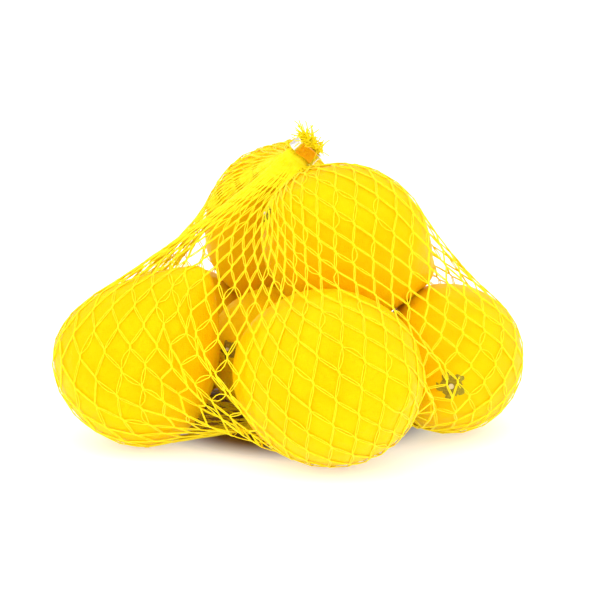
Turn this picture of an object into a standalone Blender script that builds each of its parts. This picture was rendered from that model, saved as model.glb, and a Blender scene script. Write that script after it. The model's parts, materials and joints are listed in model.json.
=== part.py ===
"""Net of lemons: seven lemons in a knotless net bag, gathered and clipped at both ends.

The bag with its fruit is one closed solid, the taut skin that the net makes round the
pile. The two metal clips are separate bands, each crimped round a gathered neck of net.
Metres, +Z up. The origin is on the ground, under the middle of the pack.
"""

import math
from collections import namedtuple

import bmesh
import bpy
import numpy as np
from mathutils import Matrix, Vector

MM = 0.001

# ---- Lemons (mm and degrees): the middle, the radius, half the length, where the tip points,
# and how much slimmer the tip's half is than the stem's
Lemon = namedtuple("Lemon", "x y z radius half_length heading lean taper")
LEMONS = {
    "front": Lemon(12.8, -45.7, 32.6, 31.9, 37.2, -46, 4, -0.05),
    "left": Lemon(-53.6, -19.6, 36.3, 30.6, 35.0, -15, 54, 0.31),
    "right": Lemon(61.0, 1.6, 28.6, 27.8, 36.8, 87, 3, 0.00),
    "upper_front": Lemon(21.1, 0.1, 73.3, 29.3, 32.7, 13, -22, 0.02),
    "upper_back": Lemon(-7.1, 50.6, 72.1, 27.4, 31.7, 40, 67, 0.00),
    "inner": Lemon(-6.0, 15.6, 26.9, 25.6, 29.7, 53, -13, 0.00),
    "back": Lemon(-44.6, 54.3, 26.8, 26.1, 31.0, 202, 7, 0.05),
}
TIP_SIZE = 0.27          # radius of the tip's nipple, as a share of the lemon's radius
TIP_REACH = 0.12         # how far the nipple stands out, as a share of the same radius

# ---- Net skin (mm)
SKIN = 1.5               # the net's outside, off the peel
SPAN_HEIGHT = 0.3        # the free net between two lemons stays this far off the ground
COLUMNS = 56             # facets round the bag
SPAN_ROWS = 40           # rows of facets from one neck to the other
PULL_ALONG = 1.0         # tension from neck to neck
PULL_AROUND = 0.12       # tension round the bag, which is weaker
SLIDE = 0.3              # share of the sideways pull that evens out the free net
RELAX_STEPS = 900
OUTLINE_STEPS = 18       # points over half a turn of a lemon, for the loose bag's outline

# ---- Necks and tails (mm): place along the neck, half width, half thickness
NECK_WIDTH = 5.3
NECK_THICKNESS = 1.9
TOP_NECK = [(-4.6, 5.7, 2.9), (-2.8, NECK_WIDTH, NECK_THICKNESS), (2.8, NECK_WIDTH, NECK_THICKNESS),
            (4.8, 6.6, 3.1), (7.2, 7.6, 4.2), (9.4, 6.8, 3.6)]
TOP_TAIL_END = 10.4
BASE_NECK = [(-4.2, 5.7, 2.9), (-2.8, NECK_WIDTH, NECK_THICKNESS), (2.8, NECK_WIDTH, NECK_THICKNESS),
             (3.4, 8.4, 7.0), (4.2, 10.5, 9.5), (5.0, 9.0, 8.0)]
BASE_TAIL_END = 5.3

# ---- Clips (mm): where they sit, which way the neck leaves the bag, and the band
TOP_CLIP = (5.6, 20.6, 106.0)
TOP_CLIP_OUT = (0.71, -0.11, 0.70)
TOP_CLIP_ACROSS = (0.67, 0.40, -0.62)
BASE_CLIP = (28.1, -8.8, 5.6)
BASE_CLIP_OUT = (0.0, 0.0, -1.0)
BASE_CLIP_ACROSS = (1.0, 0.0, 0.0)
CLIP_BAND = 5.0          # width of the band, along the neck
CLIP_WALL = 1.1
CLIP_GAP = 0.35          # between the band and the net inside it
CLIP_SEAM = 0.5          # half the gap where the band's two ends meet
CLIP_EDGE = 0.25
CLIP_POINTS = 26


def clear_scene():
    for old in list(bpy.data.objects):
        bpy.data.objects.remove(old, do_unlink=True)


def make_collection(name):
    found = bpy.data.collections.new(name)
    bpy.context.scene.collection.children.link(found)
    return found


def make_material(name, colour, roughness, metallic=0.0):
    material = bpy.data.materials.new(name)
    material.use_nodes = True
    shader = material.node_tree.nodes["Principled BSDF"]
    shader.inputs["Base Color"].default_value = (*colour, 1.0)
    shader.inputs["Roughness"].default_value = roughness
    shader.inputs["Metallic"].default_value = metallic
    return material


def frame_of(centre, out, across):
    """Centre and three square axes of a clip: across its width, through it, along its neck."""
    along = np.array(out, float) / np.linalg.norm(out)
    wide = np.array(across, float) - np.dot(across, along) * along
    wide /= np.linalg.norm(wide)
    return np.array(centre, float), wide, np.cross(along, wide), along


def tip_direction(lemon):
    heading, lean = math.radians(lemon.heading), math.radians(lemon.lean)
    level = math.cos(lean)
    return np.array([level * math.cos(heading), level * math.sin(heading), math.sin(lean)])


def slimness(lemon, along):
    """How the radius changes from the stem's end, where along is -1, to the tip's, at 1."""
    widest = (1 - math.sqrt(1 + 8 * lemon.taper ** 2)) / (4 * lemon.taper) if lemon.taper else 0.0
    return (1 - lemon.taper * along) / ((1 - lemon.taper * widest) * math.sqrt(1 - widest ** 2))


def push_off_lemons(points):
    """Move each point inside a lemon or its nipple out to the net's surface, and mark it."""
    touching = np.zeros(points.shape[:-1], bool)
    for lemon in LEMONS.values():
        axis = tip_direction(lemon)
        centre = np.array([lemon.x, lemon.y, lemon.z])
        nipple = TIP_SIZE * lemon.radius
        nipple_at = centre + axis * (lemon.half_length + TIP_REACH * lemon.radius - nipple)
        for middle, radius, half_length, body in ((centre, lemon.radius, lemon.half_length, True),
                                                  (nipple_at, nipple, nipple, False)):
            offset = points - middle
            along = offset @ axis
            side = np.linalg.norm(offset - along[..., None] * axis, axis=-1)
            along = along / (half_length + SKIN)
            slim = slimness(lemon, np.clip(along, -1, 1)) if body else 1.0
            depth = np.hypot(side / ((radius + SKIN) * slim), along)
            inside = depth < 1.0
            points[inside] = middle + offset[inside] / depth[inside][:, None]
            touching |= inside
    return touching


def ring(frame, section, angles, turn=1.0):
    """One loop of net in a neck: an oval round the neck's line."""
    centre, wide, thick, along = frame
    place, half_width, half_thickness = section
    return (centre + place * along + half_width * np.cos(angles)[:, None] * wide
            + turn * half_thickness * np.sin(angles)[:, None] * thick)


def lemon_surface(lemon):
    """Points all over the net's outside on one lemon, for the loose bag's outline."""
    axis = tip_direction(lemon)
    side = np.cross(axis, (0.0, 0.0, 1.0))
    side /= np.linalg.norm(side)
    other = np.cross(axis, side)
    polar, turn = np.meshgrid(np.linspace(0, math.pi, OUTLINE_STEPS),
                              np.linspace(0, 2 * math.pi, 2 * OUTLINE_STEPS, endpoint=False))
    out = ((lemon.radius + SKIN) * np.sin(polar) * slimness(lemon, np.cos(polar)))[..., None]
    points = (lemon.half_length + SKIN) * np.cos(polar)[..., None] * axis
    points = points + out * (np.cos(turn)[..., None] * side + np.sin(turn)[..., None] * other)
    return points.reshape(-1, 3) + (lemon.x, lemon.y, lemon.z)


def outline_planes(points):
    """Outward normals and distances of the faces of the convex outline round some points."""
    shape = bmesh.new()
    for point in points:
        shape.verts.new(point)
    bmesh.ops.convex_hull(shape, input=shape.verts)
    shape.normal_update()
    normals = np.array([face.normal for face in shape.faces])
    middles = np.array([face.calc_center_median() for face in shape.faces])
    shape.free()
    inside = points.mean(axis=0)
    turned = np.sign(((middles - inside) * normals).sum(axis=1))[:, None]
    return normals * turned, (middles * normals * turned).sum(axis=1)


def loose_bag(low_ring, high_ring, angles):
    """Rows of points on the convex outline of the pile and its top neck."""
    cloud = np.concatenate([lemon_surface(lemon) for lemon in LEMONS.values()] + [high_ring])
    normals, distances = outline_planes(cloud)
    middle = (cloud.min(axis=0) + cloud.max(axis=0)) / 2
    half = (cloud.max(axis=0) - cloud.min(axis=0)) / 2
    share = np.linspace(0.0, 1.0, SPAN_ROWS + 1)[:, None]
    polar = math.pi * share
    rays = np.stack([half[0] * np.sin(polar) * np.cos(angles), half[1] * np.sin(polar) * np.sin(angles),
                     -half[2] * np.cos(polar) * np.ones_like(angles)], axis=-1)
    to_top = (high_ring.mean(axis=0) - middle) * (1, 1, 0)
    to_base = (low_ring.mean(axis=0) - middle) * (1, 1, 0)
    rays += (share ** 3)[..., None] * to_top + ((1 - share) ** 3)[..., None] * to_base
    facing = np.einsum("rck,pk->rcp", rays, normals)
    room = distances - normals @ middle
    reach = np.where(facing > 1e-9, room / np.maximum(facing, 1e-9), np.inf).min(axis=-1)
    rows = middle + rays * reach[..., None]
    rows[0], rows[-1] = low_ring, high_ring
    return rows


def draw_tight(rows):
    """Let the net between the necks shrink straight in until it is taut.

    Where it meets a lemon it stays, held by its grip on the peel.
    """
    total = 2 * (PULL_ALONG + PULL_AROUND)
    held = push_off_lemons(rows[1:-1])
    for _ in range(RELAX_STEPS):
        along = rows[:-2] + rows[2:]
        right, left = np.roll(rows[1:-1], -1, axis=1), np.roll(rows[1:-1], 1, axis=1)
        pull = (PULL_ALONG * along + PULL_AROUND * (right + left)) / total - rows[1:-1]
        outward = np.cross(right - left, rows[2:] - rows[:-2])
        outward /= np.linalg.norm(outward, axis=-1, keepdims=True)
        straight = (pull * outward).sum(axis=-1, keepdims=True) * outward
        free = ~held
        rows[1:-1][free] += (straight + SLIDE * (pull - straight))[free]
        low = free & (rows[1:-1, :, 2] < SPAN_HEIGHT)
        rows[1:-1, :, 2][low] = SPAN_HEIGHT
        held |= push_off_lemons(rows[1:-1])
    return rows


def bag_rows(top_frame, base_frame):
    """Every ring of the bag from the base tail's end to the top tail's end, in millimetres."""
    angles = np.arange(COLUMNS) * 2 * math.pi / COLUMNS
    base_rings = [ring(base_frame, section, angles, turn=-1.0) for section in BASE_NECK]
    top_rings = [ring(top_frame, section, angles) for section in TOP_NECK]
    skin = draw_tight(loose_bag(base_rings[0], top_rings[0], angles))
    base_end = base_frame[0] + BASE_TAIL_END * base_frame[3]
    top_end = top_frame[0] + TOP_TAIL_END * top_frame[3]
    poles = [np.tile(end, (COLUMNS, 1)) for end in (base_end, top_end)]
    return [poles[0], *base_rings[:0:-1], *skin, *top_rings[1:], poles[1]]


def make_bag(name, material, collection, top_frame, base_frame):
    """The bag starts as a sphere with one ring for each row, and its points are then placed."""
    rows = bag_rows(top_frame, base_frame)
    last = len(rows) - 1
    shape = bmesh.new()
    bmesh.ops.create_uvsphere(shape, u_segments=COLUMNS, v_segments=last, radius=1.0)
    for vertex in shape.verts:
        row = round(math.acos(max(-1.0, min(1.0, -vertex.co.z))) / math.pi * last)
        column = round(math.atan2(vertex.co.y, vertex.co.x) / (2 * math.pi) * COLUMNS) % COLUMNS
        vertex.co = Vector(rows[row][column]) * MM
    bmesh.ops.triangulate(shape, faces=shape.faces)
    # Rest spots: whatever the lemons press below the ground is cut off flat.
    whole = shape.verts[:] + shape.edges[:] + shape.faces[:]
    cut = bmesh.ops.bisect_plane(shape, geom=whole, dist=1e-7, plane_co=(0, 0, 0),
                                 plane_no=(0, 0, 1), clear_inner=True)
    rims = [item for item in cut["geom_cut"] if isinstance(item, bmesh.types.BMEdge)]
    bmesh.ops.holes_fill(shape, edges=rims, sides=0)
    mesh = bpy.data.meshes.new(name)
    shape.to_mesh(mesh)
    shape.free()
    mesh.shade_smooth()
    mesh.set_sharp_from_angle(angle=math.radians(50))
    mesh.materials.append(material)
    bag = bpy.data.objects.new(name, mesh)
    collection.objects.link(bag)
    return bag


def make_clip(name, material, collection, frame):
    """A strip bent into a flat loop round the neck, with its two ends meeting at the back."""
    centre, wide, thick, along = frame
    half_thick = (NECK_THICKNESS + CLIP_GAP) * MM
    flat = (NECK_WIDTH + CLIP_GAP) * MM - half_thick
    shape = bmesh.new()
    bmesh.ops.create_circle(shape, segments=CLIP_POINTS, radius=half_thick)
    for vertex in shape.verts:
        vertex.co.x += math.copysign(flat, vertex.co.x) if abs(vertex.co.x) > 1e-6 else 0.0
        vertex.co.z -= CLIP_BAND * MM / 2
    seam = max(shape.edges, key=lambda edge: (edge.verts[0].co + edge.verts[1].co).y)
    ends = sorted(seam.verts, key=lambda vertex: vertex.co.x)
    shape.edges.remove(seam)
    for vertex, side in zip(ends, (-1, 1)):
        vertex.co.x = side * CLIP_SEAM * MM
    raised = bmesh.ops.extrude_edge_only(shape, edges=shape.edges[:])
    lifted = [item for item in raised["geom"] if isinstance(item, bmesh.types.BMVert)]
    bmesh.ops.translate(shape, verts=lifted, vec=(0, 0, CLIP_BAND * MM))
    bmesh.ops.recalc_face_normals(shape, faces=shape.faces)
    mesh = bpy.data.meshes.new(name)
    shape.to_mesh(mesh)
    shape.free()
    mesh.shade_smooth()
    mesh.set_sharp_from_angle(angle=math.radians(40))
    mesh.materials.append(material)
    clip = bpy.data.objects.new(name, mesh)
    collection.objects.link(clip)
    clip.matrix_world = Matrix(np.column_stack([wide, thick, along]).tolist()).to_4x4()
    clip.location = Vector(centre) * MM
    wall = clip.modifiers.new("wall", "SOLIDIFY")
    wall.thickness = CLIP_WALL * MM
    wall.offset = 1.0
    edge = clip.modifiers.new("edge", "BEVEL")
    edge.width = CLIP_EDGE * MM
    edge.segments = 2
    edge.limit_method = "ANGLE"
    edge.angle_limit = math.radians(50)
    return clip


def main():
    clear_scene()
    parts = make_collection("net_of_lemons")
    net = make_material("yellow_net", (1.0, 0.80, 0.0), 0.4)
    metal = make_material("clip_metal", (0.80, 0.80, 0.82), 0.3, metallic=1.0)
    top_frame = frame_of(TOP_CLIP, TOP_CLIP_OUT, TOP_CLIP_ACROSS)
    base_frame = frame_of(BASE_CLIP, BASE_CLIP_OUT, BASE_CLIP_ACROSS)
    make_bag("net_bag", net, parts, top_frame, base_frame)
    make_clip("top_clip", metal, parts, top_frame)
    make_clip("base_clip", metal, parts, base_frame)


main()
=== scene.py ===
# %% [markdown]
# # A net of lemons
#
# Seven lemons lie heaped in a yellow knotless net bag, which is gathered at the top and
# closed with a small strip of aluminium. This lesson builds the looks of that pack around
# its finished frame: first the stage, then the fruit, then the net that the fruit pulls
# tight, and last the two clips with the ragged tail of net above them.
#
# Lengths are in metres, as Blender counts them. Small sizes are written in millimetres
# and multiplied by MM, because they are easier to read that way.

# %% Load the frame
import json
from collections import namedtuple

import bmesh
import bpy
import numpy as np
from mathutils import Matrix, Vector
from mathutils.bvhtree import BVHTree

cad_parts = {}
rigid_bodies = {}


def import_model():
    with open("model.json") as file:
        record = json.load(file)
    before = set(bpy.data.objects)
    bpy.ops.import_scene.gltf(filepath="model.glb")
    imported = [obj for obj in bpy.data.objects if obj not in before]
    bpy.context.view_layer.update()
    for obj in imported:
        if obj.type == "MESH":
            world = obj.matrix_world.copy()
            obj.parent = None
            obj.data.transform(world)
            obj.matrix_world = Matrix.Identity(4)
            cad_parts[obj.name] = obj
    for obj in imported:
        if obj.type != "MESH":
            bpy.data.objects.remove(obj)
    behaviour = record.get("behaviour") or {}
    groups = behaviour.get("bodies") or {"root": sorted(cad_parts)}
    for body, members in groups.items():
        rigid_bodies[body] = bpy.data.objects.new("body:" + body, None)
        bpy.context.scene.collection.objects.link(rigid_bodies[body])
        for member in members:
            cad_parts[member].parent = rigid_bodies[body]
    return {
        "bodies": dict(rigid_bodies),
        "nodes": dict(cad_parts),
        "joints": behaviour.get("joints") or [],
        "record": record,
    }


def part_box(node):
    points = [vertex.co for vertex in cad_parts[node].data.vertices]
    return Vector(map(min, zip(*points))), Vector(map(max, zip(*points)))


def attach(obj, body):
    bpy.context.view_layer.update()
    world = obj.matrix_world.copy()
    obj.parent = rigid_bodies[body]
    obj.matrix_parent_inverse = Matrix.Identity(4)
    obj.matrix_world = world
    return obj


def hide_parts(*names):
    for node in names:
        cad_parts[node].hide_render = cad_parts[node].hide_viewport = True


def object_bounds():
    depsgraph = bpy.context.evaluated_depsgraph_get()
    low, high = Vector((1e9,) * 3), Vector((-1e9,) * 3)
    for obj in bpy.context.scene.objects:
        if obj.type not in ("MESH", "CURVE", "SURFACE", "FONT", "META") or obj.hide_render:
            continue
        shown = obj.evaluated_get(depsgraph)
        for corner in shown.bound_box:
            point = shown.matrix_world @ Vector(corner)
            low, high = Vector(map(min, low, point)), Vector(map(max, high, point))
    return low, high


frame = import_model()
frame_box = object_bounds()
MM = 0.001
frame_size = [round(side / MM, 1) for side in frame_box[1] - frame_box[0]]
print("frame", sorted(frame["nodes"]), "size in mm", frame_size)

# %% [markdown]
# ## Camera
#
# The pack is looked at from the front and a little from above. A long lens from under a
# metre away keeps the nearest lemon only slightly larger than the far ones. The camera
# is placed by walking back from the point that it looks at.

# %% Camera
LOOK_DOWN = np.radians(12.0)
DISTANCE = 0.750
aim = Vector((3.5, -45.4, 60.95)) * MM
back = Vector((0.0, -np.cos(LOOK_DOWN), np.sin(LOOK_DOWN)))
bpy.ops.object.camera_add(location=aim + DISTANCE * back, rotation=(np.pi / 2 - LOOK_DOWN, 0, 0))
camera = bpy.context.object
camera.name = "camera"
camera.data.lens = 125.1
camera.data.sensor_width = 36.0
camera.data.clip_end = 50.0
bpy.context.scene.camera = camera
print("camera", [round(c, 3) for c in camera.location])

# %% [markdown]
# ## Stage
#
# The floor is one wide, pale sheet. The light is that of a bright studio tent: an even
# glow from everywhere, and one very wide, soft sun high in front, so that the fronts and
# tops are bright and the clefts between the fruit go brown, helped by a painted brown shade
# on the floor under the pack. One small lamp on the right gives the net its sparkle. The
# Standard view keeps a strong yellow clean; the softer film-like views turn it olive.

# %% Stage
scene = bpy.context.scene
scene.view_settings.view_transform = "Standard"
scene.view_settings.look = "None"
scene.view_settings.exposure = 0.0

world = bpy.data.worlds.new("tent")
scene.world = world
world.use_nodes = True
glow = world.node_tree.nodes["Background"]
glow.inputs["Color"].default_value = (1.0, 0.94, 0.86, 1.0)
glow.inputs["Strength"].default_value = 0.89

sun_turn = (np.radians(36), 0, np.radians(-8))
bpy.ops.object.light_add(type="SUN", location=(0, -1, 1), rotation=sun_turn)
sun = bpy.context.object
sun.name = "tent_front"
sun.data.energy = 1.6
sun.data.angle = np.radians(90)
sun.data.color = (1.0, 0.99, 0.97)

bpy.ops.object.light_add(type="AREA", location=(0.95, -0.48, 0.66))
sparkle = bpy.context.object
sparkle.name = "sparkle"
sparkle.data.shape = "SQUARE"
sparkle.data.size = 0.24
sparkle.data.energy = 0.6
sparkle.data.color = (1.0, 0.98, 0.95)
to_pack = Vector((0.0, 0.0, 0.05)) - sparkle.location
sparkle.rotation_euler = to_pack.to_track_quat("-Z", "Y").to_euler()

bpy.ops.mesh.primitive_plane_add(size=14.0)
floor = bpy.context.object
floor.name = "floor"

# %% [markdown]
# ## Shader arithmetic
#
# A material is easier to read as sums than as a web of nodes. The class below wraps one
# output of a node, and Python's own signs then add the Math nodes: `1 - pores * 0.4`
# makes two. Colours go through Mix nodes, because Math would turn them grey.

# %% Shader arithmetic
class Flow:
    """A value on its way through a material."""

    def __init__(self, sheet, socket):
        self.sheet, self.socket = sheet, socket

    def _math(self, operation, first, second):
        return self.sheet.node("ShaderNodeMath", {"operation": operation}, {0: first, 1: second})

    def __add__(self, other):
        return self._math("ADD", self, other)

    def __sub__(self, other):
        return self._math("SUBTRACT", self, other)

    def __mul__(self, other):
        return self._math("MULTIPLY", self, other)

    def __radd__(self, other):
        return self._math("ADD", other, self)

    def __rsub__(self, other):
        return self._math("SUBTRACT", other, self)

    def __rmul__(self, other):
        return self._math("MULTIPLY", other, self)

    def between(self, low, high):
        """0 below low, 1 above high, and smooth from one to the other."""
        settings = {"interpolation_type": "SMOOTHSTEP"}
        values = {"Value": self, "From Min": low, "From Max": high}
        return self.sheet.node("ShaderNodeMapRange", settings, values)


class Sheet:
    """One material: its nodes, and the Principled shader that they feed."""

    def __init__(self, name, **fixed):
        self.material = bpy.data.materials.new(name)
        self.material.use_nodes = True
        self.tree = self.material.node_tree
        self.shader = self.tree.nodes["Principled BSDF"]
        for label, value in fixed.items():
            self.shader.inputs[label.replace("_", " ")].default_value = value

    def node(self, kind, settings, values, output=0):
        made = self.tree.nodes.new(kind)
        for label, value in settings.items():
            setattr(made, label, value)
        for label, value in values.items():
            self.feed(made.inputs[label], value)
        return Flow(self, made.outputs[output])

    def feed(self, socket, value):
        if isinstance(value, Flow):
            self.tree.links.new(value.socket, socket)
        elif isinstance(value, tuple) and socket.type == "RGBA":
            socket.default_value = (*value, 1.0)
        else:
            socket.default_value = value

    def place(self):
        return self.node("ShaderNodeTexCoord", {}, {}, "Object")

    def attribute(self, name):
        return self.node("ShaderNodeAttribute", {"attribute_name": name}, {}, "Fac")

    def noise(self, size, detail=2.0, rough=0.5):
        """Cloudy values round 0.5, with blots about size across."""
        values = {"Vector": self.place(), "Scale": 1 / size, "Detail": detail, "Roughness": rough}
        return self.node("ShaderNodeTexNoise", {}, values)

    def cells(self, size):
        """Distance from scattered points that lie about size apart, as a share of size."""
        return self.node("ShaderNodeTexVoronoi", {}, {"Vector": self.place(), "Scale": 1 / size})

    def vector(self, operation, first, second, output=0):
        values = {0: first} if second is None else {0: first, 1: second}
        return self.node("ShaderNodeVectorMath", {"operation": operation}, values, output)

    def mix(self, share, first, second):
        """Colours: first where share is 0, second where it is 1. Sockets 6, 7 and 2 are colours."""
        values = {"Factor": share, 6: first, 7: second}
        return self.node("ShaderNodeMix", {"data_type": "RGBA"}, values, 2)

    def bump(self, height, distance, strength):
        values = {"Height": height, "Distance": distance, "Strength": strength}
        return self.node("ShaderNodeBump", {}, values)

    def paint(self, **flows):
        for label, flow in flows.items():
            self.feed(self.shader.inputs[label.replace("_", " ")], flow)
        return self.material


print("shader arithmetic ready")

# %% [markdown]
# ## Floor finish
#
# Matt white board. Outside an oval under the pack it glows a little, a painted light as
# from a light table, so that only a faint soft shadow is left round the pack. Inside the
# oval it gives no light and has a brown painted shade, so that the deep gaps between the
# fruit stay warm and dark.

# %% Floor finish
board = Sheet("white_board_painted_shade", Roughness=0.9)
# Painted light: the board itself glows a little, bluish white, so its shadows round the pack fade.
board.shader.inputs["Emission Strength"].default_value = 0.46
# Painted shade: an oval under the pack, reaching a little past it, is brown and gives no glow.
SHADE_OVAL_MIDDLE = (0.0, 0.025, 0.0)
SHADE_OVAL_HALF = (0.090, 0.105, 1.0)
from_middle = board.vector("SUBTRACT", board.place(), SHADE_OVAL_MIDDLE)
shares = board.vector("DIVIDE", from_middle, SHADE_OVAL_HALF)
outside_painted_shade = board.vector("LENGTH", shares, None, "Value").between(0.44, 0.68)
white = board.mix(board.noise(0.02), (0.86, 0.86, 0.86), (0.89, 0.89, 0.89))
# Painted shade inside the oval (brown, no glow); outside it the board is white and glows.
board.paint(Base_Color=board.mix(outside_painted_shade, (0.34, 0.20, 0.03), white),
            Emission_Color=board.mix(outside_painted_shade, (0, 0, 0), (0.74, 0.82, 1.0)))
floor.data.materials.append(board.material)
print("floor finished")

# %% [markdown]
# ## Peel
#
# A ripe lemon is a warm, strong yellow, a shade greener round its two ends. The rind is
# waxy and full of oil glands: pores about a millimetre apart, each a small dip with a
# slightly deeper colour. The underside gets a trace of painted shade, a warmer orange. The
# pores go into the bump, because they are far too many to model, and the wider dimples
# between them are real relief on the mesh.

# %% Peel
def make_peel():
    peel = Sheet("lemon_peel", Specular_IOR_Level=0.07, Specular_Tint=(1.0, 0.80, 0.20, 1.0),
                 Subsurface_Weight=0.9, Subsurface_Scale=1.6 * MM,
                 Subsurface_Radius=(1.0, 0.5, 0.1))
    tone = peel.noise(14 * MM, 3.0)
    glands = peel.cells(1.15 * MM)
    fine = peel.cells(0.62 * MM)
    pit = 1 - glands.between(0.10, 0.42)
    ends = peel.attribute("ends").between(0.72, 1.0)
    colour = peel.mix(tone.between(0.35, 0.68), (0.96, 0.585, 0.001), (0.98, 0.635, 0.002))
    colour = peel.mix(ends * 0.45, colour, (0.88, 0.620, 0.003))
    # Painted shade: towards the bottom of each lemon the peel is pushed to orange.
    colour = peel.mix(peel.attribute("underside_painted_shade") * 0.75, colour, (0.97, 0.42, 0.001))
    colour = peel.mix(pit * 0.22, colour, (0.94, 0.50, 0.001))
    rough = 0.36 + peel.noise(4 * MM) * 0.10 + pit * 0.10
    height = (1 - pit) * 0.8 + fine.between(0.1, 0.6) * 0.25 + peel.noise(3.2 * MM, 2.0) * 0.9
    return peel.paint(Base_Color=colour, Roughness=rough, Normal=peel.bump(height, 0.16 * MM, 0.55))


peel = make_peel()
print("peel finished")

# %% [markdown]
# ## The heap
#
# Each lemon is written down once: where its middle is, its radius, half its length,
# which way its tip points, and how much slimmer the tip's half is than the stem's. No two
# are alike, and one is drawn out to a broad blunt neck. Three lean together in front, and
# two ride on top in the hollows between the others.

# %% The heap
Lemon = namedtuple("Lemon", "x y z radius half_length heading lean taper")
HEAP = {
    "front": Lemon(12.8, -45.7, 32.6, 31.9, 37.2, -46, 4, -0.05),
    "left": Lemon(-53.6, -19.6, 36.3, 30.6, 35.0, -15, 54, 0.31),
    "right": Lemon(61.0, 1.6, 28.6, 27.8, 36.8, 87, 3, 0.00),
    "upper_front": Lemon(21.1, 0.1, 73.3, 29.3, 32.7, 13, -22, 0.02),
    "upper_back": Lemon(-7.1, 50.6, 72.1, 27.4, 31.7, 40, 67, 0.00),
    "inner": Lemon(-6.0, 15.6, 26.9, 25.6, 29.7, 53, -13, 0.00),
    "back": Lemon(-44.6, 54.3, 26.8, 26.1, 31.0, 202, 7, 0.05),
}


def axis_of(lemon):
    heading, lean = np.radians(lemon.heading), np.radians(lemon.lean)
    return np.array([np.cos(lean) * np.cos(heading), np.cos(lean) * np.sin(heading), np.sin(lean)])


def slimness(lemon, along):
    """How the radius changes from the stem's end, where along is -1, to the tip's, at 1."""
    taper = lemon.taper
    widest = (1 - np.sqrt(1 + 8 * taper ** 2)) / (4 * taper) if taper else 0.0
    return (1 - taper * along) / ((1 - taper * widest) * np.sqrt(1 - widest ** 2))


volumes = [4 / 3 * np.pi * one.radius ** 2 * one.half_length / 1000 for one in HEAP.values()]
print(len(HEAP), "lemons,", round(sum(volumes)), "cubic cm")

# %% [markdown]
# ## One lemon
#
# A lemon starts as a sphere with its poles where the stem and the tip are. Stretching it
# along the axis gives the oval. Pulling the tip's pole out with proportional editing
# draws the nipple, wide first and then narrow, and the stem's pole is raised to a low
# collar with a dimple in it. Two Displace modifiers then make it uneven: slow swellings
# that are different on every fruit, and the shallow dimples of the rind.

# %% One lemon
def start_clean():
    if bpy.context.object and bpy.context.object.mode != "OBJECT":
        bpy.ops.object.mode_set(mode="OBJECT")
    bpy.ops.object.select_all(action="DESELECT")


def select_only(obj):
    start_clean()
    obj.select_set(True)
    bpy.context.view_layer.objects.active = obj


def select_points(obj, wanted):
    """In edit mode, select the points whose place passes the test."""
    shape = bmesh.from_edit_mesh(obj.data)
    for face in shape.faces:
        face.select_set(False)
    for point in shape.verts:
        point.select_set(bool(wanted(point.co)))
    shape.select_flush_mode()
    bmesh.update_edit_mesh(obj.data)


def pull_pole(obj, end, distance, reach, falloff):
    """Move one pole along the axis and let its surroundings follow it."""
    bpy.ops.object.mode_set(mode="EDIT")
    select_points(obj, lambda p: p.z * end > 0 and abs(p.x) + abs(p.y) < 1e-7)
    bpy.ops.transform.translate(value=(0, 0, end * distance), use_proportional_edit=True,
                                proportional_edit_falloff=falloff, proportional_size=reach)
    bpy.ops.object.mode_set(mode="OBJECT")


def cloud(name, size, depth):
    texture = bpy.data.textures.new(name, "CLOUDS")
    texture.noise_scale = size
    texture.noise_depth = depth
    return texture


swelling = cloud("swelling", 22 * MM, 1)
dimples = cloud("dimples", 3.4 * MM, 2)


def turn_to(lemon):
    """The matrix that turns +Z to the lemon's axis and carries it to its place."""
    axis = Vector(axis_of(lemon))
    place = Matrix.Translation(Vector((lemon.x, lemon.y, lemon.z)) * MM)
    return place @ axis.to_track_quat("Z", "Y").to_matrix().to_4x4()


# How strong the painted shade on each lemon's underside is.
UNDERSIDE_PAINTED_SHADE = 0.1
POLE_PULLS = (  # which end, how far out, how wide the pull is (both as shares of the radius)
    (1, 0.075, 0.62, "SMOOTH"),
    (1, 0.050, 0.26, "SPHERE"),
    (-1, 0.045, 0.42, "SMOOTH"),
    (-1, -0.070, 0.17, "SMOOTH"),
)
RELIEF = ((swelling, 1.3 * MM), (dimples, 0.32 * MM))


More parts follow.
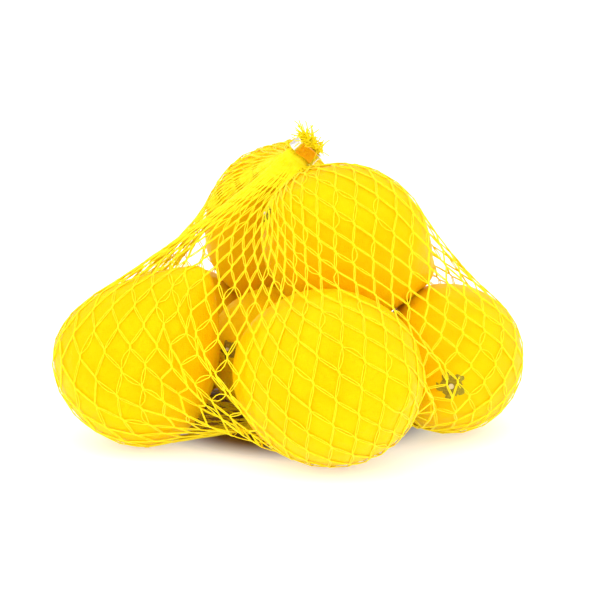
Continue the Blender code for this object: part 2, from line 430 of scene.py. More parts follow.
def make_lemon(name, lemon):
    start_clean()
    bpy.ops.mesh.primitive_uv_sphere_add(segments=184, ring_count=124,
                                         radius=lemon.radius * MM)
    fruit = bpy.context.object
    fruit.name = name
    bpy.ops.object.mode_set(mode="EDIT")
    bpy.ops.mesh.select_all(action="SELECT")
    bpy.ops.transform.resize(value=(1, 1, lemon.half_length / lemon.radius))
    bpy.ops.object.mode_set(mode="OBJECT")
    points = np.empty(len(fruit.data.vertices) * 3)
    fruit.data.vertices.foreach_get("co", points)
    points = points.reshape(-1, 3)
    along = points[:, 2] / (lemon.half_length * MM)
    ends = fruit.data.attributes.new("ends", "FLOAT", "POINT")
    ends.data.foreach_set("value", np.abs(along).astype(np.float32))
    points[:, :2] *= slimness(lemon, along)[:, None]
    fruit.data.vertices.foreach_set("co", points.ravel())
    for end, out, reach, falloff in POLE_PULLS:
        pull_pole(fruit, end, out * lemon.radius * MM, reach * lemon.radius * MM, falloff)
    fruit.matrix_world = turn_to(lemon)
    select_only(fruit)
    bpy.ops.object.transform_apply(location=True, rotation=True, scale=True)
    fruit.data.vertices.foreach_get("co", points.reshape(-1))
    # Painted shade: a share that grows towards the bottom of the lemon, for an orange tint.
    underside = np.clip(0.5 - (points[:, 2] / MM - lemon.z) / (2 * lemon.radius), 0, 1)
    underside_painted_shade = fruit.data.attributes.new("underside_painted_shade", "FLOAT", "POINT")
    underside_painted_shade.data.foreach_set("value", (UNDERSIDE_PAINTED_SHADE * underside).astype(np.float32))
    for texture, strength in RELIEF:
        relief = fruit.modifiers.new(texture.name, "DISPLACE")
        relief.texture = texture
        relief.texture_coords = "LOCAL"
        relief.strength = strength
        relief.mid_level = 0.5
        bpy.ops.object.modifier_apply(modifier=relief.name)
    bpy.ops.object.shade_smooth()
    fruit.data.materials.append(peel)
    return fruit


lemons = {name: make_lemon("lemon_" + name, lemon) for name, lemon in HEAP.items()}
face_count = sum(len(fruit.data.polygons) for fruit in lemons.values())
print(len(lemons), "lemons with", face_count, "faces")

# %% [markdown]
# ## Calyx
#
# At the stem's end sits what is left of the flower: a dry five-pointed star, flat on
# the rind, with the pale stub of the cut stalk in its middle. A disc with many sides gets
# its points by pushing the rim in and out, and the stub is extruded from its middle.

# %% Calyx
def make_bark():
    bark = Sheet("dry_calyx", Specular_IOR_Level=0.3)
    grain = bark.noise(0.7 * MM, 4.0, 0.6)
    stub = bark.attribute("stub")
    colour = bark.mix(grain.between(0.3, 0.7), (0.20, 0.145, 0.005), (0.45, 0.35, 0.013))
    colour = bark.mix(stub, colour, bark.mix(grain, (0.62, 0.55, 0.30), (0.82, 0.76, 0.50)))
    return bark.paint(Base_Color=colour, Roughness=0.65 + grain * 0.2,
                      Normal=bark.bump(grain, 0.25 * MM, 0.8))


bark = make_bark()


LOBES = 5
DISC_THICK = 0.9 * MM
INSETS = (0.32, 0.32, 0.18)
STUB_HEIGHT = 0.8 * MM
STUB_STARTS = 0.8 * MM
SEAT = 0.45 * MM


def make_calyx(name, lemon, size):
    start_clean()
    bpy.ops.mesh.primitive_cylinder_add(vertices=60, radius=size, depth=DISC_THICK)
    star = bpy.context.object
    star.name = name
    bpy.ops.object.mode_set(mode="EDIT")
    shape = bmesh.from_edit_mesh(star.data)
    shape.faces.ensure_lookup_table()
    for face in shape.faces:
        face.select_set(face.normal.z > 0.9)
    bmesh.update_edit_mesh(star.data)
    for share in INSETS:
        bpy.ops.mesh.inset(thickness=size * share, depth=0.0)
    bpy.ops.mesh.extrude_region_move(TRANSFORM_OT_translate={"value": (0, 0, STUB_HEIGHT)})
    bpy.ops.mesh.inset(thickness=size * 0.05, depth=0.1 * MM)
    bpy.ops.object.mode_set(mode="OBJECT")
    stub = star.data.attributes.new("stub", "FLOAT", "POINT")
    for index, vertex in enumerate(star.data.vertices):
        x, y, z = vertex.co
        out = np.hypot(x, y) / size
        angle = np.arctan2(y, x)
        point = abs(np.cos(LOBES * angle / 2)) ** 0.7
        lobe = 0.66 + 0.32 * point + 0.04 * np.sin(11 * angle + lemon.x)
        share = np.clip((out - 0.3) / 0.7, 0, 1)
        scale = 1 + share * (lobe - 1)
        vertex.co.x, vertex.co.y = x * scale, y * scale
        if z > 0:
            vertex.co.z = z + 0.35 * MM * np.sin(LOBES * angle) * share - 0.25 * MM * share
        vertex.co.z -= (out * scale * size) ** 2 / (2 * lemon.radius * MM)
        stub.data[index].value = 1.0 if z > STUB_STARTS else 0.0
    edge = star.modifiers.new("edge", "BEVEL")
    edge.width = 0.16 * MM
    edge.segments = 2
    edge.limit_method = "ANGLE"
    select_only(star)
    bpy.ops.object.modifier_apply(modifier="edge")
    seat = lemon.half_length * MM + SEAT
    stand = Matrix.Translation((0, 0, -seat)) @ Matrix.Rotation(np.pi, 4, "X")
    star.matrix_world = turn_to(lemon) @ stand
    bpy.ops.object.transform_apply(location=True, rotation=True, scale=True)
    bpy.ops.object.shade_smooth_by_angle(angle=np.radians(50))
    star.data.materials.append(bark)
    return star


CALYX_SIZES = {"right": 5.7, "upper_front": 3.3, "left": 4.3}
USUAL_CALYX = 4.0
calyxes = {}
for name, lemon in HEAP.items():
    size = CALYX_SIZES.get(name, USUAL_CALYX) * MM
    calyxes[name] = make_calyx("calyx_" + name, lemon, size)
print(len(calyxes), "calyxes")

# %% [markdown]
# ## The net pulled tight
#
# The bag is a tube of diamonds: 62 meshes round and 25 half rows from one clip to
# the other. Its shape is not drawn but found. The tube starts as a loose bag on the
# outline of the whole heap. Each knot that isn't touching fruit then moves straight in
# until the net is taut, and stays where it first meets a rind. After that every bar is
# given its real length, and the knots slide until the bars fit.

# %% Loose bag
AROUND = 62
HALF_ROWS = 25
BAR = 9.2
OFF_PEEL = 0.6
CROWDING = 0.36
TIP_SIZE, TIP_REACH = 0.27, 0.12


def oval(section, angles):
    """One loop of a gathered neck: place along its line, half width and half thickness."""
    centre, wide, thick, along, place, half_width, half_thickness = section
    return (centre + place * along + half_width * np.cos(angles)[:, None] * wide
            + half_thickness * np.sin(angles)[:, None] * thick)


def neck_frame(centre, out, across):
    along = np.array(out, float) / np.linalg.norm(out)
    wide = np.array(across, float) - np.dot(across, along) * along
    wide /= np.linalg.norm(wide)
    return np.array(centre, float), wide, np.cross(along, wide), along


def centre_of(node):
    low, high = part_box(node)
    return np.array((low + high) / 2) / MM


TOP = neck_frame(centre_of("top_clip"), (0.71, -0.11, 0.70), (0.67, 0.40, -0.62))
BASE = neck_frame(centre_of("base_clip"), (0.0, 0.0, -1.0), (1.0, 0.0, 0.0))


def bodies():
    """The rounded solids that the net can touch: each lemon, and the nipple at its tip."""
    for lemon in HEAP.values():
        axis = axis_of(lemon)
        centre = np.array([lemon.x, lemon.y, lemon.z])
        nipple = TIP_SIZE * lemon.radius
        yield lemon, axis, centre, lemon.radius, lemon.half_length, True
        nipple_at = centre + axis * (lemon.half_length + TIP_REACH * lemon.radius - nipple)
        yield lemon, axis, nipple_at, nipple, nipple, False


SOLIDS = list(bodies())


def push_off(points, gap=OFF_PEEL):
    """Move points out of the fruit to a small gap above the peel, and say which touched."""
    touching = np.zeros(points.shape[:-1], bool)
    for lemon, axis, centre, radius, half_length, body in SOLIDS:
        offset = points - centre
        near = np.abs(offset).max(axis=-1) < half_length + gap
        if not near.any():
            continue
        local = offset[near]
        along = local @ axis
        side = np.linalg.norm(local - along[:, None] * axis, axis=-1)
        along = along / (half_length + gap)
        slim = slimness(lemon, np.clip(along, -1, 1)) if body else 1.0
        depth = np.hypot(side / ((radius + gap) * slim), along)
        inside = depth < 1.0
        if inside.any():
            where = np.argwhere(near)[inside]
            spots = tuple(where.T)
            points[spots] = centre + local[inside] / depth[inside][:, None]
            touching[spots] = True
    return touching


def even_out(line, count, closed, widths=1.0):
    """Points evenly spaced along one line of points, or in proportion to the widths given."""
    if closed:
        line = np.concatenate([line, line[:1]])
    steps = np.linalg.norm(np.diff(line, axis=0), axis=1) / widths
    length = np.concatenate([[0.0], np.cumsum(steps)])
    wanted = np.linspace(0, length[-1], count + closed)[:count]
    return np.stack([np.interp(wanted, length, line[:, k]) for k in range(3)], axis=1)


def outline_planes(points):
    shape = bmesh.new()
    for point in points:
        shape.verts.new(point)
    bmesh.ops.convex_hull(shape, input=shape.verts)
    shape.normal_update()
    normals = np.array([face.normal for face in shape.faces])
    middles = np.array([face.calc_center_median() for face in shape.faces])
    shape.free()
    turned = np.sign(((middles - points.mean(axis=0)) * normals).sum(axis=1))[:, None]
    return normals * turned, (middles * normals * turned).sum(axis=1)


def peel_points(lemon, steps=16):
    axis = axis_of(lemon)
    side = np.cross(axis, (0.0, 0.0, 1.0))
    side /= np.linalg.norm(side)
    other = np.cross(axis, side)
    polar, turn = np.meshgrid(np.linspace(0, np.pi, steps),
                              np.linspace(0, 2 * np.pi, 2 * steps, endpoint=False))
    out = ((lemon.radius + OFF_PEEL) * np.sin(polar) * slimness(lemon, np.cos(polar)))[..., None]
    points = (lemon.half_length + OFF_PEEL) * np.cos(polar)[..., None] * axis
    points = points + out * (np.cos(turn)[..., None] * side + np.sin(turn)[..., None] * other)
    return points.reshape(-1, 3) + (lemon.x, lemon.y, lemon.z)


def mesh_widths(offsets, share):
    """Meshes crowd on the left of the heap and gape on its right, more to the front higher up."""
    widest_at = np.radians(20 - 60 * share)
    return 1 + CROWDING * np.cos(np.arctan2(offsets[:, 1], offsets[:, 0]) - widest_at)


def loose_bag(low_ring, high_ring, angles, rows):
    """Rings of points on the convex outline of the heap and its top neck."""
    outline = np.concatenate([peel_points(lemon) for lemon in HEAP.values()] + [high_ring])
    normals, distances = outline_planes(outline)
    centre = (outline.min(axis=0) + outline.max(axis=0)) / 2
    half = (outline.max(axis=0) - outline.min(axis=0)) / 2
    share = np.linspace(0.0, 1.0, rows + 1)[:, None]
    polar = np.pi * share
    rays = np.stack([half[0] * np.sin(polar) * np.cos(angles),
                     half[1] * np.sin(polar) * np.sin(angles),
                     -half[2] * np.cos(polar) * np.ones_like(angles)], axis=-1)
    to_top = (high_ring.mean(axis=0) - centre) * (1, 1, 0)
    to_base = (low_ring.mean(axis=0) - centre) * (1, 1, 0)
    rays += (share ** 3)[..., None] * to_top + ((1 - share) ** 3)[..., None] * to_base
    facing = np.einsum("rck,pk->rcp", rays, normals)
    room = distances - normals @ centre
    reach = np.where(facing > 1e-9, room / np.maximum(facing, 1e-9), np.inf).min(axis=-1)
    bag = centre + rays * reach[..., None]
    bag[0], bag[-1] = low_ring, high_ring
    for _ in range(3):
        for row in range(1, rows):
            widths = mesh_widths(bag[row] - centre, row / rows)
            bag[row] = even_out(bag[row], len(angles), True, widths)
        for column in range(len(angles)):
            bag[:, column] = even_out(bag[:, column], rows + 1, False)
    return bag


angles = np.arange(AROUND) * 2 * np.pi / AROUND
RING_HALF = (5.7, 2.9)
low_ring = oval((*BASE, -4.2, *RING_HALF), -angles)
high_ring = oval((*TOP, -4.6, *RING_HALF), angles)
bag = loose_bag(low_ring, high_ring, angles, HALF_ROWS)
girth = np.linalg.norm(bag[20] - np.roll(bag[20], 1, 0), axis=1).sum()
print("loose bag", bag.shape, "girth of row 20", round(girth), "mm")

# %% [markdown]
# Odd rows of a diamond net stand half a mesh aside. Each knot therefore has two
# neighbours above it and two below, and the helpers below find them.

# %% Taut net
ODD = (np.arange(HALF_ROWS + 1) % 2 == 1)[:, None, None]


def half_mesh(rows):
    """Shift the odd rows half a mesh round the bag."""
    return np.where(ODD, (rows + np.roll(rows, -1, axis=1)) / 2, rows)


def links(net):
    """Index pairs of all bars: (row, column) of the lower and of the upper knot."""
    pairs = []
    for row in range(HALF_ROWS):
        for column in range(AROUND):
            aside = (column + 1) % AROUND if row % 2 else (column - 1) % AROUND
            pairs.append((row * AROUND + column, (row + 1) * AROUND + column))
            pairs.append((row * AROUND + column, (row + 1) * AROUND + aside))
    return np.array(pairs)


def neighbours(net):
    """Upper-left, upper-right, lower-left and lower-right knots of the inner rows."""
    odd = ODD[1:-1]
    up, down = net[2:], net[:-2]
    up_other = np.where(odd, np.roll(up, -1, axis=1), np.roll(up, 1, axis=1))
    down_other = np.where(odd, np.roll(down, -1, axis=1), np.roll(down, 1, axis=1))
    up_left, up_right = np.where(odd, up, up_other), np.where(odd, up_other, up)
    down_left, down_right = np.where(odd, down, down_other), np.where(odd, down_other, down)
    return up_left, up_right, down_left, down_right


LOWEST = 0.4
SLIDE = 0.3
TIGHTEN_STEPS = 300


def draw_tight(net, steps):
    held = push_off(net[1:-1])
    for _ in range(steps):
        up_left, up_right, down_left, down_right = neighbours(net)
        pull = (up_left + up_right + down_left + down_right) / 4 - net[1:-1]
        outward = np.cross(up_right + down_right - up_left - down_left,
                           up_left + up_right - down_left - down_right)
        outward /= np.linalg.norm(outward, axis=-1, keepdims=True)
        straight = (pull * outward).sum(axis=-1, keepdims=True) * outward
        free = ~held
        net[1:-1][free] += (straight + SLIDE * (pull - straight))[free]
        net[1:-1, :, 2] = np.maximum(net[1:-1, :, 2], LOWEST)
        held |= push_off(net[1:-1])
    return net


net = draw_tight(half_mesh(bag), TIGHTEN_STEPS)
pairs = links(net)


def bar_lengths(net):
    flat = net.reshape(-1, 3)
    return np.linalg.norm(flat[pairs[:, 1]] - flat[pairs[:, 0]], axis=1)


lengths = bar_lengths(net)
print("taut: bars", lengths.mean().round(2), "mm on average")

# %% [markdown]
# The bars now get their real length. A bar that is too long draws its knots together at
# once; one that is too short pushes only weakly, because net crumples. A knot on a rind
# slides less easily than one in the open.

# %% Fit the bars
DRAW_IN, PUSH_OUT = 0.5, 0.2
KNOT_SHARE = 0.42
RIND_DRAG = 0.7
SMOOTHING = 0.06
SAG = 0.004
FIT_STEPS = 350


def fit_bars(net, steps):
    flat = net.reshape(-1, 3)
    low, high = pairs[:, 0], pairs[:, 1]
    inner = slice(AROUND, HALF_ROWS * AROUND)
    touching = np.zeros(len(flat), bool)
    for _ in range(steps):
        span = flat[high] - flat[low]
        length = np.linalg.norm(span, axis=1)
        over = length / BAR - 1
        give = np.where(over > 0, DRAW_IN, PUSH_OUT) * over / (1 + over)
        move = np.zeros_like(flat)
        step = span * give[:, None]
        for k in range(3):
            move[:, k] = (np.bincount(low, step[:, k], len(flat))
                          - np.bincount(high, step[:, k], len(flat)))
        move *= KNOT_SHARE
        move[touching] *= RIND_DRAG
        up_left, up_right, down_left, down_right = neighbours(net)
        smooth = (up_left + up_right + down_left + down_right) / 4 - net[1:-1]
        move[inner] += smooth.reshape(-1, 3) * SMOOTHING
        move[:, 2] -= SAG
        flat[inner] += move[inner]
        flat[inner, 2] = np.maximum(flat[inner, 2], LOWEST)
        touching[inner] = push_off(flat[inner])
    return net


net = fit_bars(net, FIT_STEPS)
lengths = bar_lengths(net)
spread = np.percentile(lengths, [5, 50, 95, 100]).round(1)
print("fitted: bars", lengths.mean().round(2), "mm; shares 5, 50, 95 and 100 % are below", spread)

# %% [markdown]
# ## Filaments
#
# Each knot joins two zigzag threads, one that leans left and one that leans right, and
# every thread is a pair of fine filaments. The pair runs side by side along a bar, a
# millimetre apart, and closes up at the knots. So a filament's path is: through a knot,
# out of its end, four points along the bar, and in at the next. Here and there one
# filament is longer than its twin and bows out. The rind is then asked where it is, and
# any point too near is lifted off.

# %% Knot directions
def directions(net):
    """For every knot: up along the bag, to the right round it, and out from it."""
    up_left, up_right, down_left, down_right = neighbours(net)
    up = up_left + up_right - down_left - down_right
    right = np.roll(net, -1, axis=1) - np.roll(net, 1, axis=1)
    up = np.concatenate([(net[1] - net[0])[None], up, (net[-1] - net[-2])[None]])
    up /= np.linalg.norm(up, axis=-1, keepdims=True)
    right -= (right * up).sum(axis=-1, keepdims=True) * up
    right /= np.linalg.norm(right, axis=-1, keepdims=True)
    return up, right, np.cross(right, up)


chance = np.random.default_rng(11)
knot_up, knot_right, knot_out = directions(net)
KNOT_REACH = 0.75
THREAD = 0.20
print("directions found at", knot_up.shape[0] * knot_up.shape[1], "knots")

# %% Rind tree
def surface_of(pieces):
    """One search tree over the faces of several pieces, in millimetres."""
    corners, faces = [], []
    for piece in pieces:
        start = len(corners)
        corners += [tuple(v.co / MM) for v in piece.data.vertices]
        faces += [[start + k for k in p.vertices] for p in piece.data.polygons]
    return BVHTree.FromPolygons(corners, faces)


rind = surface_of([*lemons.values(), *calyxes.values()])


SEARCH = 6.0
THREAD_LOWEST = 0.28


def lift(points, gap):
    """Raise points that are nearer to the rind than gap, and keep all of them off the floor."""
    flat = points.reshape(-1, 3)
    for index, point in enumerate(flat):
        spot, normal, _, _ = rind.find_nearest(Vector(point), SEARCH)
        if spot is None:
            continue
        above = (Vector(point) - spot).dot(normal)
        if above < 0:
            flat[index] = np.array(spot + normal * gap)
        elif above < gap:
            flat[index] = point + np.array(normal) * (gap - above)
    flat[:, 2] = np.maximum(flat[:, 2], THREAD_LOWEST)
    return points


print("rind tree ready")

# %% Filament paths
def zigzag(column, lean):
    """The columns that one thread passes through, from row 0 to the last."""
    rows = np.arange(HALF_ROWS + 1)
    return rows, (column + np.where((rows % 2 == 1) & (lean < 0), -1, 0)) % AROUND


ALONG_BAR = ((0.11, 0.80), (0.36, 1.0), (0.64, 1.0), (0.89, 0.80))
PAIR_HALF_GAP = 0.46
LOOSE_SHARE = 0.08
CROSS_OVER, HUG, TWIN_SIDE, TWIN_OUT = 0.17, 0.10, 0.12, 0.12


def bar_points(column, lean, twin):
    """The path of one filament of a thread through the body of the bag."""
    rows, columns = zigzag(column, lean)
    spot, up, right, out = (grid[rows, columns] for grid in (net, knot_up, knot_right, knot_out))
    side = np.where(rows % 2 == 0, lean, -lean)[:, None] * right
    through = spot + CROSS_OVER * side + twin * (HUG * right + TWIN_OUT * out)
    leave = spot + KNOT_REACH * up + HUG * side + twin * TWIN_SIDE * right
    enter = spot - KNOT_REACH * up + HUG * side + twin * TWIN_SIDE * right
    start, end = leave[:-1], enter[1:]
    way = end - start
    length = np.linalg.norm(spot[1:] - spot[:-1], axis=1)
    slack = np.clip(BAR / length - 1, 0, 0.25)
    across = np.cross(out[:-1] + out[1:], way)
    across /= np.linalg.norm(across, axis=1, keepdims=True)
    outward = (out[:-1] + out[1:]) / 2
    count = len(way)
    open_by = np.where(length < 4, 0.5, 1.0) * chance.uniform(0.8, 1.15, count)
    loose = (chance.random(count) < LOOSE_SHARE) * chance.uniform(0.5, 1.2, count)
    aside = chance.normal(0, 0.08, count) + slack * chance.normal(0, 1.0, count)
    rise = chance.normal(0.05, 0.08, count)
    path = np.empty((count, len(ALONG_BAR) + 3, 3))
    path[:, 0], path[:, 1], path[:, -1] = through[:-1], start, end
    for index, (share, open_here) in enumerate(ALONG_BAR):
        swell = np.sin(np.pi * share)
        shift = twin * (PAIR_HALF_GAP * open_by * open_here + loose * swell ** 2) + aside * swell
        shift = shift + chance.normal(0, 0.03, count)
        path[:, index + 2] = (start + share * way + shift[:, None] * across
                              + (rise * swell)[:, None] * outward)
    return np.concatenate([path.reshape(-1, 3), through[-1:]])


NECK_WIDE, NECK_THICK = 5.0, 1.2


def neck_offset(frame, angle, depth):
    """Where one filament lies in the gathered bundle, seen along the neck."""
    centre, wide, thick, along = frame
    return depth * (NECK_WIDE * np.cos(angle) * wide + NECK_THICK * np.sin(angle) * thick)


def neck_points(frame, angle, places, depth):
    centre, wide, thick, along = frame
    offset = neck_offset(frame, angle, depth)
    return np.array([centre + place * along + offset for place in places])


TAIL_WAY = np.array([-1.0, 0.22, 0.50])
TAIL_FROM = 2.9
TAIL_STEPS, ROSETTE_STEPS = 10, 6


def tail_points(angle, depth):
    """The ragged tail above the clip: filaments turn up and back, fan out and curl into a tuft."""
    centre, wide, thick, along = TOP
    reach = chance.uniform(3.2, 5.6)
    spot = centre + TAIL_FROM * along + neck_offset(TOP, angle, depth)
    fan = 0.12 * np.cos(angle) * wide + 0.40 * np.sin(angle) * thick + chance.normal(0, 0.16, 3)
    curl = chance.normal(0, 0.40, 3)
    points = []
    for index in range(TAIL_STEPS):
        share = (index + 0.5) / TAIL_STEPS
        way = 0.75 * (1 - share) * along + share * TAIL_WAY + fan + share * curl
        spot = spot + reach / TAIL_STEPS * way
        curl = curl + chance.normal(0, 0.35, 3)
        points.append(spot)
    return np.array(points)


def rosette_points(angle, depth):
    """The tail under the pack, pressed flat on the ground round the lower clip."""
    centre = BASE[0]
    turned = -angle + chance.normal(0, 0.25)
    reach = chance.uniform(5.5, 10.5)
    heading = np.array([np.cos(turned), np.sin(turned), 0.0])
    points = []
    for index in range(ROSETTE_STEPS):
        share = (index + 1) / ROSETTE_STEPS
        out = 3.6 * depth + reach * share
        slope = 2.4 * (1 - share) ** 1.5 * chance.uniform(0.6, 1.0)
        height = 0.35 + slope + 0.5 * depth * (1 - share)
        wobble = np.array([*chance.normal(0, 0.5, 2), 0.0]) * share
        points.append(np.array([*centre[:2], height]) + out * heading + wobble)
    return np.array(points)[::-1]


def filament(column, lean, twin):
    body = lift(bar_points(column, lean, twin), THREAD + 0.10)
    angle = angles[column] + 0.03 * lean + 0.015 * twin
    depth = np.sqrt(chance.uniform(0.12, 1.0))
    above = neck_points(TOP, angle, (-2.7, 0.0, 2.7), depth)
    below = neck_points(BASE, -angle, (2.6, 0.0, -2.7), depth)
    rosette, tail = rosette_points(angle, depth), tail_points(angle, depth)
    return np.concatenate([rosette, below, body, above, tail])


quarters = [[], [], [], []]
for column in range(AROUND):
    for lean in (1, -1):
        for twin in (1, -1):
            quarters[column * 4 // AROUND].append(filament(column, lean, twin))
paths = [path for quarter in quarters for path in quarter]
print(len(paths), "filaments with", sum(len(path) for path in paths), "points")

# %% [markdown]
# ## Net finish
#
# The net is knitted from thin, glossy yellow plastic thread. It is a brighter, colder
# yellow than the fruit, and cloudy streaks vary its colour and gloss.

# %% Net finish
def make_thread():
    thread = Sheet("yellow_thread", Specular_IOR_Level=0.28, Specular_Tint=(1.0, 0.92, 0.40, 1.0))
    streak = thread.noise(1.5 * MM, 2.0)
    colour = thread.mix(streak.between(0.3, 0.7), (0.98, 0.79, 0.003), (0.99, 0.86, 0.014))
    return thread.paint(Base_Color=colour, Roughness=0.32 + streak * 0.15)


thread = make_thread()


def make_threads(name, paths):
    """Round threads along many lines of points, made a mesh with closed ends."""
    start_clean()
    curve = bpy.data.curves.new(name, "CURVE")
    curve.dimensions = "3D"
    curve.bevel_depth = THREAD * MM
    curve.bevel_resolution = 1
    curve.use_fill_caps = True
    for path in paths:
        line = curve.splines.new("POLY")
        line.points.add(len(path) - 1)
        line.points.foreach_set("co", np.column_stack([path * MM, np.ones(len(path))]).ravel())
    piece = bpy.data.objects.new(name, curve)
    scene.collection.objects.link(piece)
    select_only(piece)
    bpy.ops.object.convert(target="MESH")
    piece = bpy.context.object
    bpy.ops.object.shade_smooth()
    piece.data.materials.append(thread)
    return piece


net_pieces = [make_threads(f"net_threads_{k + 1}", paths) for k, paths in enumerate(quarters)]
print("net pieces with faces", [len(p.data.polygons) for p in net_pieces])

# %% [markdown]
# ## Knots
#
# A knotless net isn't tied. Where four bars meet, the filaments are looped through each
# other for about two millimetres, which makes a small braid. One braid is shaped from
# a sphere with a few dozen faces, and a copy is laid in every crossing, turned to its
# own place.

# %% Knots
GIRTHS = (0, 0.26, 0.38, 0.33, 0.40, 0.33, 0.38, 0.26, 0)
BRAID_HALF, BRAID_FLATNESS, TURN_PER_RING = 0.95, 0.85, 20
KNOT_GAP = 0.38
KNOT_FLOOR = 0.05


def make_braid():
    start_clean()
    bpy.ops.mesh.primitive_uv_sphere_add(segments=6, ring_count=8, radius=1.0)
    braid = bpy.context.object
    for vertex in braid.data.vertices:
        x, y, z = vertex.co
        ring = round(np.degrees(np.arccos(np.clip(z, -1, 1))) / 22.5)
        flat = np.hypot(x, y)
        turn = np.radians(TURN_PER_RING * ring)
        scale = GIRTHS[ring] / flat if flat > 1e-6 else 0
        vertex.co = (scale * (x * np.cos(turn) - y * np.sin(turn)),
                     scale * (x * np.sin(turn) + y * np.cos(turn)) * BRAID_FLATNESS,
                     BRAID_HALF * z)
    return braid


def lay_copies(name, pattern, spots, sides, fronts, ups):
    """One mesh with a copy of the pattern at each spot, pressed flat where it meets the ground."""
    shape = np.array([v.co for v in pattern.data.vertices])
    faces = [list(p.vertices) for p in pattern.data.polygons]
    placed = (spots[:, None] + shape[None, :, 0, None] * sides[:, None]
              + shape[None, :, 1, None] * fronts[:, None]
              + shape[None, :, 2, None] * ups[:, None])
    placed[..., 2] = np.maximum(placed[..., 2], KNOT_FLOOR)
    count = len(shape)
    all_faces = [[k + count * copy for k in face] for copy in range(len(spots)) for face in faces]
    mesh = bpy.data.meshes.new(name)
    mesh.from_pydata((placed.reshape(-1, 3) * MM).tolist(), [], all_faces)
    piece = bpy.data.objects.new(name, mesh)
    scene.collection.objects.link(piece)
    select_only(piece)
    bpy.ops.object.shade_smooth()
    bpy.data.objects.remove(pattern, do_unlink=True)
    return piece


spots = lift(net[1:-1].reshape(-1, 3).copy(), KNOT_GAP)
spots[:, 2] = np.maximum(spots[:, 2], LOWEST)
knots = lay_copies("net_knots", make_braid(), spots, knot_right[1:-1].reshape(-1, 3),
                   -knot_out[1:-1].reshape(-1, 3), knot_up[1:-1].reshape(-1, 3))
knots.data.materials.append(thread)
print("knots", len(spots), "faces", len(knots.data.polygons))

# %% [markdown]
# ## Clips
#
# The clip is a strip of soft aluminium bent round the gathered net and pressed flat, so
# that its two ends meet behind. A circle is pulled out to a flat loop, opened at the
# seam, and extruded to the strip's width. Solidify gives it a wall and Bevel rounds its
# edges. The press leaves shallow dents across the strip and flares its rims a little. Its
# front face is tinted orange, a painted reflection of the fruit beneath it.

# %% Clip finish
def make_aluminium():
    metal = Sheet("bright_aluminium", Metallic=1.0)
    brushed = metal.noise(1.1 * MM, 3.0)
    colour = metal.mix(brushed.between(0.3, 0.7), (0.80, 0.80, 0.82), (0.90, 0.90, 0.91))
    # Painted reflection: the flat front face is tinted orange, as if mirroring the fruit.
    colour = metal.mix(metal.attribute("painted_reflection"), colour, (1.0, 0.62, 0.26))
    rough = 0.14 + brushed * 0.14
    return metal.paint(Base_Color=colour, Roughness=rough,
                       Normal=metal.bump(brushed, 0.05 * MM, 0.3))


aluminium = make_aluminium()


BAND, WALL, BAND_ROWS = 5.0, 0.8, 8
HALF_THICK, FLAT = 1.6, 4.1
DENT_DEPTH, DENT_EVERY = 0.15, 2.7


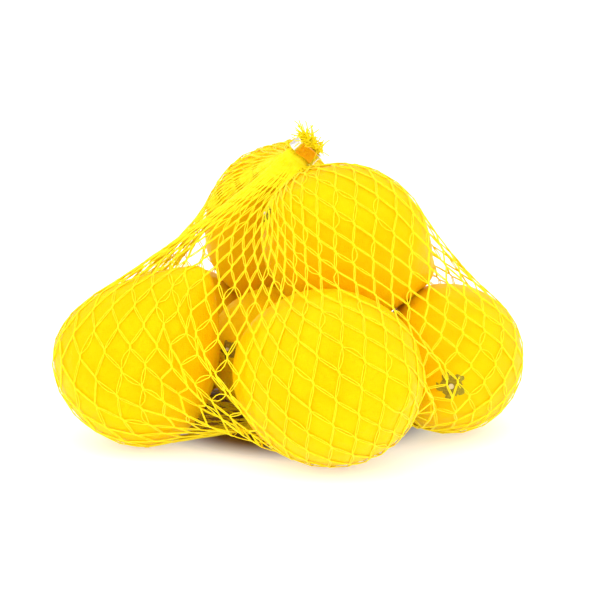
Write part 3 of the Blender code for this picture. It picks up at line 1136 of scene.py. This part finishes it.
def make_clip(name, frame):
    centre, wide, thick, along = frame
    start_clean()
    bpy.ops.mesh.primitive_circle_add(vertices=84, radius=HALF_THICK * MM,
                                      location=(0, 0, -BAND / 2 * MM))
    clip = bpy.context.object
    clip.name = name
    bpy.ops.object.transform_apply(location=True)
    bpy.ops.object.mode_set(mode="EDIT")
    for end in (1, -1):
        select_points(clip, lambda p: p.x * end > 1e-6)
        bpy.ops.transform.translate(value=(end * FLAT * MM, 0, 0))
    select_points(clip, lambda p: abs(p.x) < (FLAT + 0.18) * MM)
    bpy.ops.mesh.subdivide(number_cuts=6)
    select_points(clip, lambda p: abs(p.x) < 1e-6 and p.y > 0)
    bpy.ops.mesh.delete(type="VERT")
    bpy.ops.mesh.select_all(action="SELECT")
    for _ in range(BAND_ROWS):
        step_up = (0, 0, BAND / BAND_ROWS * MM)
        bpy.ops.mesh.extrude_region_move(TRANSFORM_OT_translate={"value": step_up})
    bpy.ops.mesh.select_all(action="SELECT")
    bpy.ops.mesh.normals_make_consistent(inside=False)
    bpy.ops.object.mode_set(mode="OBJECT")
    # Painted reflection: marks the flat front face that gets the orange tint.
    painted_reflection = clip.data.attributes.new("painted_reflection", "FLOAT", "POINT")
    for index, vertex in enumerate(clip.data.vertices):
        x, y, z = (c / MM for c in vertex.co)
        painted_reflection.data[index].value = 1.0 if y < -1.2 and abs(x) < FLAT - 0.3 else 0.0
        dent = max(0.0, np.cos(2 * np.pi * x / DENT_EVERY)) ** 2 * max(0.0, 1 - (x / 4.2) ** 4)
        y -= np.sign(y) * DENT_DEPTH * dent * (abs(y) > 1.2)
        flare = (abs(z) / (BAND / 2)) ** 4
        scale = 1 + 0.05 * flare
        vertex.co = (x * scale * MM, y * (scale + 0.03 * flare) * MM,
                     (z + 0.18 * np.sin(x * 0.9 + 1)) * MM)
    for kind, settings in (("SOLIDIFY", {"thickness": WALL * MM, "offset": 1.0}),
                           ("BEVEL", {"width": 0.30 * MM, "segments": 3, "limit_method": "ANGLE",
                                      "angle_limit": np.radians(50)})):
        step = clip.modifiers.new(kind.lower(), kind)
        for label, value in settings.items():
            setattr(step, label, value)
        select_only(clip)
        bpy.ops.object.modifier_apply(modifier=step.name)
    turn = Matrix(np.column_stack([wide, thick, along]).tolist()).to_4x4()
    clip.matrix_world = Matrix.Translation(Vector(centre) * MM) @ turn
    bpy.ops.object.transform_apply(location=True, rotation=True, scale=True)
    bpy.ops.object.shade_smooth_by_angle(angle=np.radians(40))
    clip.data.materials.append(aluminium)
    return clip


clips = {"top_clip": make_clip("crimped_top_clip", TOP),
         "base_clip": make_clip("crimped_base_clip", BASE)}
print("clips with faces", [len(c.data.polygons) for c in clips.values()])

# %% [markdown]
# ## Hand over
#
# Every piece rides on the one body. The lemons, calyxes and net together stand for the
# solid bag of the frame, and each detailed clip for its plain one.

# %% Hand over
for piece in [*lemons.values(), *calyxes.values(), *net_pieces, knots]:
    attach(piece, "root")
    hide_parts("net_bag")
for node, clip in clips.items():
    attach(clip, "root")
    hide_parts(node)
